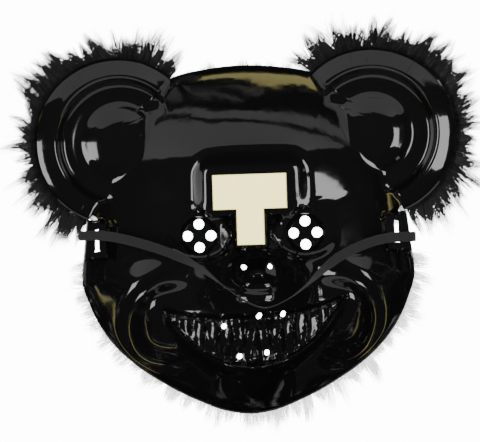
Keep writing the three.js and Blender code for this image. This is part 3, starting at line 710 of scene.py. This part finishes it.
# How much the wall's depth grows where the surface is steep, up to a limit.
def steepness(depthAt, x, z):
    slopeX, slopeZ = slopeOf(depthAt, x, z, 2 * head["wall"])
    return np.minimum(np.sqrt(1 + slopeX**2 + slopeZ**2), head["steepest"])


def lugShare(x, z):
    soft = lug["soft"]
    inwards = softStep((np.abs(x) - lug["inner"]) / soft + 0.5)
    return inwards * softStep((lug["halfHeight"] - np.abs(z - lug["up"])) / soft + 0.5)


def headRear(x, z):
    depth = headDepth(x, z) - head["wall"] * steepness(headDepth, x, z)
    return np.maximum(depth + teethForm(x, z), 0) * (1 - lugShare(x, z))


def earShare(x, z):
    return np.hypot(np.abs(x) - ear["across"], z - ear["up"]) / ear["radius"]


def earRear(x, z):
    return ear["depth"] * rowCurve(ear["rows"], np.minimum(earShare(x, z), 1)) * (earShare(x, z) < 1)


# Head and ear meet in a rounded ridge: a + (b - a) h + round h (1 - h), where h goes from 0 to 1
# as b passes a.
def shellRear(x, z):
    first, second = headRear(x, z), earRear(x, z)
    share = np.clip(0.5 + (second - first) / (2 * ridge["round"]), 0, 1)
    joined = mix(first, second, share) + ridge["round"] * share * (1 - share)
    return np.where((headShare(x, z) < 1) & (earShare(x, z) < 1), joined, np.maximum(first, second))


def evened(values, reach):
    weights = np.hanning(2 * reach + 3)[1:-1]
    padded = np.concatenate([values[-reach - 1 : -1], values, values[1 : reach + 1]])
    return np.convolve(padded, weights / weights.sum(), "valid")


# Where values, one row for each ray, pass 0 between step first - 1 and step first.
def crossingAt(steps, values, first):
    rows = np.arange(len(values))
    low, high = values[rows, first - 1], values[rows, first]
    return mix(steps[first - 1], steps[first], np.clip(-low / (high - low + 1e-9), 0, 1))


# How far along each turn the head reaches: to its outline, or to the crease where the ear is deeper.
def headLimits():
    turns = np.linspace(-180, 180, ridge["rays"])
    shares = np.linspace(0.6, 1, 401)
    turnGrid, shareGrid = np.meshgrid(turns, shares, indexing="ij")
    x, z = headPlace(turnGrid, shareGrid)
    over = earRear(x, z) - headRear(x, z)
    found = over > ridge["clear"]
    creased = found.any(axis=1)
    crossing = crossingAt(shares, over, np.maximum(np.argmax(found, axis=1), 1))
    limit = np.where(creased, crossing, 1.0)
    smooth = np.maximum(evened(limit, ridge["even"]), limit) + ridge["overlap"] / head["halfWidth"]
    return turns, np.where(creased, np.minimum(smooth, 1), 1.0)


def gridBorder(shape):
    border = np.zeros(shape, bool)
    border[[0, -1], :] = True
    border[:, [0, -1]] = True
    return border


def allCells(grid):
    return np.ones((grid.shape[0] - 1, grid.shape[1] - 1), bool)


# A piece of the shell over rear (x, z), closed at its edge, where only the rim's thickness is left.
def shellSheet(name, rear, front, edge, faceOn, thick, rimThickness):
    depth = np.where(edge, 0, shellRear(*rear))
    frontDepth = depth + np.where(edge, rimThickness, thick)
    layers = ((x, rimY + y, z) for (x, z), y in ((rear, depth), (front, frontDepth)))
    return closedSheet(name, "shell", shellLook, *layers, faceOn)


def makeHead():
    discX, discZ = discGrid(head["across"], head["upwards"])
    turn = np.degrees(np.arctan2(discX, discZ))
    disc = np.minimum(np.hypot(discX, discZ), 1)
    turns, limits = headLimits()
    limit = np.interp(turn, turns, limits)
    share = disc * (1 - (1 - limit) * disc**3)
    atRim = limit > 0.999
    inset = head["wall"] * softStep((disc - 1) / head["rimSoft"] + 1) * atRim
    x, z = headPlace(turn, share, inset)
    layers = [(x, z), headPlace(turn, share)]
    faceOn = allCells(x)
    for side in (-1, 1):
        faceOn = cutRound(layers, faceOn, side * eye["across"], eye["up"], eye["radius"])
        faceOn = cutRound(layers, faceOn, side * nose["across"], nose["up"], nose["holeRadius"])
        slotX = side * strap["slotAcross"]
        faceOn = cutSlot(layers, faceOn, slotX, lug["up"], strap["slotWidth"], lug["slotHeight"])
    for across, up in mouth["holes"]:
        middleX = across * mouth["halfWidth"]
        middleZ = mouth["cornerUp"] + up * mouth["halfWidth"]
        faceOn = cutRound(layers, faceOn, middleX, middleZ, mouth["holeRadius"])
    edge = gridBorder(x.shape) & atRim
    thick = head["wall"] * mix(steepness(headDepth, x, z), 1, lugShare(x, z))
    obj = shellSheet("shell_head", *layers, edge, faceOn, thick, head["rimThickness"])
    print("head made,", len(obj.data.polygons), "faces")


# Along each ray from the middle of the ear's grid: to the ear's edge, or to the crease.
def earLimits(side, middleX, middleZ):
    angles = np.linspace(0, 360, ridge["rays"])
    reach = np.linspace(0, 2 * ear["radius"], 801)
    angleGrid, reachGrid = np.meshgrid(np.radians(angles), reach, indexing="ij")
    x = middleX + np.cos(angleGrid) * reachGrid
    z = middleZ + np.sin(angleGrid) * reachGrid
    edge = np.hypot(x - side * ear["across"], z - ear["up"]) - (ear["radius"] - head["wall"])
    over = headRear(x, z) - earRear(x, z)
    inside = headShare(x, z) < 1
    found = (edge > 0) | ((over > 0) & inside)
    first = np.maximum(np.argmax(found, axis=1), 1)
    creased = edge[np.arange(len(angles)), first] <= 0
    limit = crossingAt(reach, np.where(creased[:, None], over, edge), first)
    smooth = np.maximum(evened(limit, ridge["even"]), limit) + ridge["overlap"]
    return angles, np.where(creased, smooth, limit)


def makeEar(side, name):
    middleX = side * (ear["across"] + ear["gridShift"][0])
    middleZ = ear["up"] + ear["gridShift"][1]
    discX, discZ = discGrid(ear["cells"], ear["cells"])
    angle = np.degrees(np.arctan2(discZ, discX)) % 360
    disc = np.minimum(np.hypot(discX, discZ), 1)
    angles, limits = earLimits(side, middleX, middleZ)
    reach = disc * np.interp(angle, angles, limits)
    x = middleX + np.cos(np.radians(angle)) * reach
    z = middleZ + np.sin(np.radians(angle)) * reach
    share = earShare(x, z)
    edge = gridBorder(x.shape) & (share > 1 - 1.5 * head["wall"] / ear["radius"])
    start, soft = ear["rimSoft"]
    outward = 1 + head["wall"] / ear["radius"] * softStep((share - start) / soft)
    front = mix(side * ear["across"], x, outward), mix(ear["up"], z, outward)
    thick = head["wall"] * steepness(earRear, x, z)
    shellSheet(name, (x, z), front, edge, allCells(x), thick, ear["rimThickness"])


# A button: its floor, its rim and the wall down to the socket are one profile turned about its middle.
def makeButton(side, name):
    radius = eye["radius"]
    discX, discZ = discGrid(eye["cells"], eye["cells"])
    middleX = side * eye["across"]
    x, z = middleX + discX * radius, eye["up"] + discZ * radius
    layers = [(x, z)]
    faceOn = allCells(x)
    for quarter in range(4):
        turn = math.pi / 2 * quarter
        holeX = middleX + eye["holeReach"] * math.cos(turn)
        holeZ = eye["up"] + eye["holeReach"] * math.sin(turn)
        faceOn = cutRound(layers, faceOn, holeX, holeZ, eye["holeRadius"])
    share = np.minimum(np.hypot(x - middleX, z - eye["up"]) / radius, 1)
    y = rimY + eye["depth"] + rowCurve(eye["buttonRows"], share)
    start, soft = eye["buttonSoft"]
    grown = 1 + head["wall"] / radius * softStep((share - start) / soft)
    front = (mix(middleX, x, grown), y + head["wall"], mix(eye["up"], z, grown))
    closedSheet(name, "shell", shellLook, (x, y, z), front, faceOn)


makeHead()
for side, word in ((-1, "left"), (1, "right")):
    makeEar(side, "shell_ear_" + word)
    makeButton(side, "shell_button_" + word)
print("shell made")


# Foam pad: a grid over its T, with both faces rolled over at the cut edges.
# Depth of the roll at distance d from the edge: round (1 - sqrt(1 - (1 - d / round)^2)).

def makePad():
    rounding = pad["rounding"]
    bar, stem, top, low = (pad[k] for k in ("barHalfWidth", "stemHalfWidth", "barHeight", "stemHeight"))
    armCells, stemCells, upCells = pad["cells"]
    closeX, closeZ = np.array(pad["closeColumns"]), np.array(pad["closeRows"])
    xs = np.unique(np.concatenate([
        np.linspace(-bar, -stem, armCells),
        np.linspace(-stem, stem, stemCells),
        np.linspace(stem, bar, armCells),
        *[side * (half - closeX) for side in (-1, 1) for half in (bar, stem)],
    ]))
    rows = np.linspace(-low, 0, upCells), np.linspace(0, top, upCells)
    zs = np.unique(np.concatenate([*rows, -low + closeZ, closeZ, top - closeZ]))
    x, z = np.meshgrid(xs, zs)
    insideBar = np.minimum(bar - np.abs(x), np.minimum(z, top - z))
    insideStem = np.minimum(stem - np.abs(x), np.minimum(z + low, top - z))
    inside = np.maximum(np.maximum(insideBar, insideStem), 0)
    roll = rounding * (1 - np.sqrt(1 - np.clip(1 - inside / rounding, 0, 1) ** 2))
    uneven = pad["uneven"] * (np.sin(x * 0.31 + 1.3 * np.sin(z * 0.23)) * np.sin(z * 0.27 + 0.8))
    faceOn = (np.abs(cellMiddles(x)) < stem) | (cellMiddles(z) > 0)
    rear = (x, roll + np.abs(uneven), z)
    front = (x, pad["thickness"] - roll, z)
    obj = closedSheet("brow_pad_foam", "foam_pad", (foam, "cream_foam"), rear, front, faceOn, 70)


makePad()
print("pad made")


# Fur

fur = dict(
    backing=1.6, gap=0.3,
    behind=7.0,  # how far behind the rim a strand may reach
    edge=0.975,
)

strand = dict(
    steps=(0, 0.33, 0.68, 1.0), widths=(1.0, 0.85, 0.55), widthRange=(0.7, 1.3),
    lengthRange=(0.6, 1.25), wave=0.05, waveTurn=4.5, pull=1.4,
)

# In these, curl bends a strand along the surface, stray in any way, and sag down and back.
earFur = dict(
    name="ear_fur", look=(blackFur, "black_fur"),
    seeds=(31, 5, 71),  # of the roots, the locks and the strands
    strands=15000, locks=260, gather=(0.55, 0.97), band=16.0, length=27.0,
    lengthRange=(0.7, 1.0), uneven=0.28, width=0.42, swirl=0.35, turnStray=0.16,
    lift=(0.25, 0.75), liftEdge=1.35, curl=0.35, stray=0.22, sag=(0, -0.15, -0.12),
    overShell=False, cells=(14, 181),
)

faceFur = dict(
    name="face_fur", look=(whiteFur, "white_fur"), seeds=(11, 6, 72), strands=34000,
    locks=620, gather=(0.3, 0.8), inner=0.15, length=17.0, lengthRange=(0.65, 1.15),
    shortAbove=40, shortShare=0.72, width=0.483, turnStray=0.22, fall=0.12,
    lift=(0.25, 0.7), liftEdge=1.3, edgeSoft=(0.8, 0.17), edgeward=0.75, edgeBack=-0.1,
    curl=0.25, stray=0.2, sag=(0, -0.1, -0.15), overShell=False, cells=110,
    rootsUp=2.4,  # roots and cloth over the shell, in backings
    clothUp=1.4, window=dict(up=-0.03, halfWidth=0.76, halfHeight=0.33),
)

eyeFur = dict(
    name="eye_fur", look=(blackFur, "black_fur"), seeds=(51, 7, 73), strands=6000,
    locks=110, gather=(0.3, 0.8), length=9.0, lengthRange=(0.6, 1.15), width=0.42,
    turnStray=0.25, fall=0.2, lift=(0.5, 1.1), curl=0.5, stray=0.2, sag=(0, 0, 0),
    overShell=True,  # none of its strands is left out
    cells=91, across=1.06, up=0.2, margin=2.0, tilt=25.0, around=4, wallsClear=3,
)


# Each strand is a narrow tapering ribbon: root + length (t out + t t bend / 2), drawn towards the
# middle strand of its lock by gather t^pull, with the width falling to a point at the tip.
def strandMesh(name, roots, out, bend, length, lock, gather, width, seed):
    random = np.random.default_rng(seed)
    count = len(roots)
    length = length * random.uniform(*strand["lengthRange"], count)[lock]
    t = np.array(strand["steps"])[None, :, None]
    line = roots[:, None] + length[:, None, None] * (t * out[:, None] + t * t * bend[:, None] / 2)
    wave = random.normal(size=(count, 1, 3)) * strand["wave"] * length[:, None, None]
    line = line + wave * np.sin(t * strand["waveTurn"])
    drawn = gather[:, None, None] * t ** strand["pull"]
    line = line + (line[lock] - line) * drawn
    along = unit(line[:, -1] - line[:, 0])
    flat = unit(np.cross(along, random.normal(size=(count, 3)) + np.array([0, 1.2, 0])))
    half = width / 2 * np.array(strand["widths"])[None, :, None]
    half = half * random.uniform(*strand["widthRange"], (count, 1, 1))
    left = line[:, :3] - flat[:, None] * half
    right = line[:, :3] + flat[:, None] * half
    points = np.concatenate([left, right, line[:, 3:]], axis=1)
    base = (np.arange(count) * 7)[:, None]
    quads = np.concatenate([base + [0, 3, 4, 1], base + [1, 4, 5, 2]])
    return buildMesh(name, points.reshape(-1, 3), [quads, base + [2, 5, 6]])


# Strands that share a lock follow the strand that is nearest to the lock's middle.
def nearestLock(places, locks, seed):
    random = np.random.default_rng(seed)
    chosen = random.choice(len(places), locks, replace=False)
    nearest = np.zeros(len(places), int)
    for part in np.array_split(np.arange(len(places)), 40):
        away = np.linalg.norm(places[part][:, None] - places[chosen][None], axis=2)
        nearest[part] = chosen[np.argmin(away, axis=1)]
    return nearest


# Growing directions on a front surface: along it in the way (goX, goZ), raised by lift off it.
def growOn(depthAt, x, z, goX, goZ, lift):
    slopeX, slopeZ = slopeOf(depthAt, x, z)
    along = unit(np.stack([goX, slopeX * goX + slopeZ * goZ, goZ], -1))
    off = unit(np.stack([-slopeX, np.ones_like(slopeX), -slopeZ], -1))
    return unit(along + off * lift[:, None]), along


# Strands whose middle or tip would pass through the shell, or stand out behind its rim, are left out.
def clearOfShell(roots, out, bend, length):
    clear = np.ones(len(roots), bool)
    for t in (0.35, 0.7, 1.0):
        x, y, z = (roots + length[:, None] * (t * out + t * t * bend / 2)).T
        shell = np.maximum(plainDepth(x, z) * (headShare(x, z) < 1), earRear(x, z))
        beside = (headShare(x, z) > 1) & (earShare(x, z) > 1)
        clear &= (y > rimY + shell + 1.5 * head["wall"]) | (beside & (y > rimY - fur["behind"]))
    return clear


def makePile(form, word, random, place, out, along, uneven, shift=0):
    roots = np.stack(place, -1)
    count = len(roots)
    bend = along * form["curl"] + random.normal(size=(count, 3)) * form["stray"] + np.array(form["sag"])
    length = form["length"] * random.uniform(*form["lengthRange"], count) * uneven
    clear = clearOfShell(roots, out, bend, length) | form["overShell"]
    roots, out, bend, length = (v[clear] for v in (roots, out, bend, length))
    lock = nearestLock(roots, form["locks"], form["seeds"][1])
    gather = random.uniform(*form["gather"], len(roots))
    way = lock, gather, form["width"], form["seeds"][2] + shift
    obj = strandMesh(form["name"] + "_pile" + word, roots, out, bend, length, *way)
    finishPiece(obj, form["look"], form["name"] + word)


def makeBacking(form, word, x, y, z, faceOn):
    name, node = form["name"] + "_backing" + word, form["name"] + word
    closedSheet(name, node, form["look"], (x, y, z), (x, y + fur["backing"], z), faceOn)


def earPlace(side, turn, share):
    x = side * ear["across"] + np.sin(turn) * share * ear["radius"]
    return x, ear["up"] + np.cos(turn) * share * ear["radius"]


# Ear fur stands outwards on a band along the ear's edge. Its cloth is that band, turned about the ear's
# middle and left out inside the head's outline.
def makeEarFur(side, word):
    form = earFur
    random = np.random.default_rng(form["seeds"][0] + side)
    count = form["strands"]
    low = 1 - form["band"] / ear["radius"]
    share = np.sqrt(random.uniform(low**2, fur["edge"] ** 2, 3 * count))
    turn = random.uniform(-np.pi, np.pi, 3 * count)
    x, z = earPlace(side, turn, share)
    bare = headShare(x, z) > 1.0
    x, z, turn, share = (v[bare][:count] for v in (x, z, turn, share))
    y = rimY + earRear(x, z) + head["wall"] + fur["gap"] + fur["backing"]
    swirl = form["swirl"] * np.sin(3 * turn + side) + random.normal(size=len(x)) * form["turnStray"]
    lift = random.uniform(*form["lift"], len(x)) * (form["liftEdge"] - share)
    out, along = growOn(earRear, x, z, np.sin(turn + swirl), np.cos(turn + swirl), lift)
    uneven = 1 + form["uneven"] * np.sin(turn * 9 + 2 * side) * np.sin(turn * 4.3)
    makePile(form, word, random, (x, y, z), out, along, uneven, side)
    rows, columns = form["cells"]
    turns = np.linspace(-np.pi, np.pi, columns)
    share, turn = np.meshgrid(np.linspace(low, fur["edge"], rows), turns, indexing="ij")
    x, z = earPlace(side, turn, share)
    y = rimY + earRear(x, z) + head["wall"] + fur["gap"]
    makeBacking(form, word, x, y, z, headShare(cellMiddles(x), cellMiddles(z)) > 1.01)


# Face fur leaves out the bare window with nose and grin, the lugs, and what lies under an ear.
def bareOfFaceFur(x, z):
    window = faceFur["window"]
    windowUp = (z - head["middleUp"] - window["up"] * headHeight) / (window["halfHeight"] * headHeight)
    inWindow = np.hypot(x / (window["halfWidth"] * head["halfWidth"]), windowUp) < 1
    lugSide = (np.abs(x) > lug["inner"] - 2) & (np.abs(z - lug["up"]) < lug["halfHeight"] + 1)
    earFront = earRear(x, z) + head["wall"] * steepness(earRear, x, z)
    underEar = (earFront > plainDepth(x, z) + fur["backing"] / 2) & (earShare(x, z) < 1.04)
    return inWindow | lugSide | underEar


# Face fur grows away from the head's middle, and at the edge straight outwards.
def makeFaceFur():
    form = faceFur
    random = np.random.default_rng(form["seeds"][0])
    count = form["strands"]
    turn = random.uniform(-180, 180, 3 * count)
    share = np.sqrt(random.uniform(form["inner"], fur["edge"] ** 2, 3 * count))
    x, z = headPlace(turn, share)
    grown = ~bareOfFaceFur(x, z)
    x, z, share = (v[grown][:count] for v in (x, z, share))
    y = rimY + plainDepth(x, z) + form["rootsUp"] * fur["backing"]
    away = np.hypot(x, z - head["middleUp"])
    awayX, awayZ = x / away, (z - head["middleUp"]) / away
    twist = random.normal(size=len(x)) * form["turnStray"]
    goX = awayX * np.cos(twist) - awayZ * np.sin(twist)
    goZ = awayX * np.sin(twist) + awayZ * np.cos(twist) - form["fall"]
    lift = random.uniform(*form["lift"], len(x)) * (form["liftEdge"] - share)
    out, along = growOn(plainDepth, x, z, goX, goZ, lift)
    start, soft = form["edgeSoft"]
    edgeward = softStep((share - start) / soft)[:, None]
    radial = np.stack([goX, np.full_like(goX, form["edgeBack"]), goZ], -1)
    out = mix(out, radial, form["edgeward"] * edgeward)
    makePile(form, "", random, (x, y, z), out, along, np.where(z > form["shortAbove"], form["shortShare"], 1))
    discX, discZ = discGrid(form["cells"], form["cells"])
    turn = np.degrees(np.arctan2(discX, discZ))
    x, z = headPlace(turn, np.minimum(np.hypot(discX, discZ), 1) * fur["edge"])
    y = rimY + plainDepth(x, z) + form["clothUp"] * fur["backing"]
    makeBacking(form, "", x, y, z, ~bareOfFaceFur(cellMiddles(x), cellMiddles(z)))


# The eye patch is a tilted ellipse with a round opening for the button.
def eyePatch(side, x, z):
    form = eyeFur
    tilt = math.radians(-side * form["tilt"])
    dx, dz = x - side * form["across"] * eye["across"], z - eye["up"] - form["up"] * eye["radius"]
    across = dx * math.cos(tilt) + dz * math.sin(tilt)
    up = -dx * math.sin(tilt) + dz * math.cos(tilt)
    halfWidth, halfHeight = (eye[k] + form["margin"] for k in ("hollowHalfWidth", "hollowHalfHeight"))
    opening = eye["radius"] + form["wallsClear"] * head["wall"]
    outside = np.hypot(x - side * eye["across"], z - eye["up"]) > opening
    return (np.hypot(across / halfWidth, up / halfHeight) < 1) & outside


def makeEyeFur(side, word):
    form = eyeFur
    random = np.random.default_rng(form["seeds"][0] + side)
    count = form["strands"]
    reach = eye["hollowHalfWidth"] + form["margin"] + form["around"]
    x = side * eye["across"] + random.uniform(-reach, reach, 6 * count)
    z = eye["up"] + random.uniform(-reach, reach, 6 * count)
    on = eyePatch(side, x, z)
    x, z = x[on][:count], z[on][:count]
    y = rimY + headDepth(x, z) + fur["gap"] + fur["backing"]
    goX, goZ = x - side * eye["across"], z - eye["up"]
    away = np.hypot(goX, goZ)
    goX = goX / away + random.normal(size=len(x)) * form["turnStray"]
    goZ = goZ / away + random.normal(size=len(x)) * form["turnStray"] - form["fall"]
    out, along = growOn(headDepth, x, z, goX, goZ, random.uniform(*form["lift"], len(x)))
    makePile(form, word, random, (x, y, z), out, along, 1, side)
    line = np.linspace(-reach, reach, form["cells"])
    x, z = np.meshgrid(side * eye["across"] + line, eye["up"] + line)
    y = rimY + headDepth(x, z) + fur["gap"]
    makeBacking(form, word, x, y, z, eyePatch(side, cellMiddles(x), cellMiddles(z)))


makeFaceFur()
for side, word in ((-1, "_left"), (1, "_right")):
    makeEarFur(side, word)
    makeEyeFur(side, word)
print("fur made")


# Studio: a pale floor below the mask, two softboxes behind it to the sides, and a white surround.

studio = dict(
    floorUp=-0.30, floorColor=(0.6, 0.6, 0.59), floorReach=0.62, surround=14.0,
    glow=0.03,  # what the surround gives to reflections
    boxes=[  # azimuth and elevation as seen from the mask, distance, width, height, power
        (-47, 13, 1.6, 0.6, 1.0, 18),
        (55, 19, 1.6, 0.6, 1.0, 18),
    ],
    fill=(8, -3, 2.2, 1.6, 0.5, 130),  # lights foam and fur and is not seen in the gloss
    front=(180, 8, 1.8, 1.2, 0.8, 110),
)


def softbox(name, azimuth, elevation, distance, width, height, power):
    turn, lift = math.radians(azimuth), math.radians(elevation)
    data = bpy.data.lights.new(name, "AREA")
    data.shape = "RECTANGLE"
    data.size = width
    data.size_y = height
    data.energy = power
    obj = bpy.data.objects.new(name, data)
    bpy.context.scene.collection.objects.link(obj)
    flat = distance * math.cos(lift)
    obj.location = (math.sin(turn) * flat, -math.cos(turn) * flat, math.sin(lift) * distance)
    obj.rotation_euler = (-obj.location).to_track_quat("-Z", "Y").to_euler()
    return obj


def makeStudio():
    for i, row in enumerate(studio["boxes"]):
        softbox("softbox_%d" % i, *row)
    softbox("rear_fill", *studio["fill"]).visible_glossy = False
    softbox("front_fill", *studio["front"])
    world = bpy.data.worlds.new("surround")
    world.use_nodes = True
    bpy.context.scene.world = world
    white = (1, 1, 1, 1)
    seen = addNode(world, "ShaderNodeBackground", Color=white, Strength=studio["surround"])
    glow = addNode(world, "ShaderNodeBackground", Color=white, Strength=studio["glow"])
    path = addNode(world, "ShaderNodeLightPath")
    both = addNode(world, "ShaderNodeMixShader")
    for start, socket in ((path.outputs["Is Camera Ray"], 0), (glow.outputs[0], 1), (seen.outputs[0], 2)):
        join(world, start, both.inputs[socket])
    join(world, both.outputs[0], world.node_tree.nodes["World Output"].inputs["Surface"])
    reach = studio["floorReach"] / mm
    disc = np.linspace(0, 2 * np.pi, 64, endpoint=False)
    ring = np.stack([np.cos(disc) * reach, np.sin(disc) * reach, np.full(64, studio["floorUp"] / mm)], -1)
    floor = buildMesh("floor", ring, [np.arange(64)[None]])
    paint, shader = newMaterial("pale_floor", studio["floorColor"], 0.6)
    addBump(paint, shader, noiseOn(paint, 300, 3), 0.1, 0.0005)
    floor.data.materials.append(paint)


makeStudio()
print("studio made")
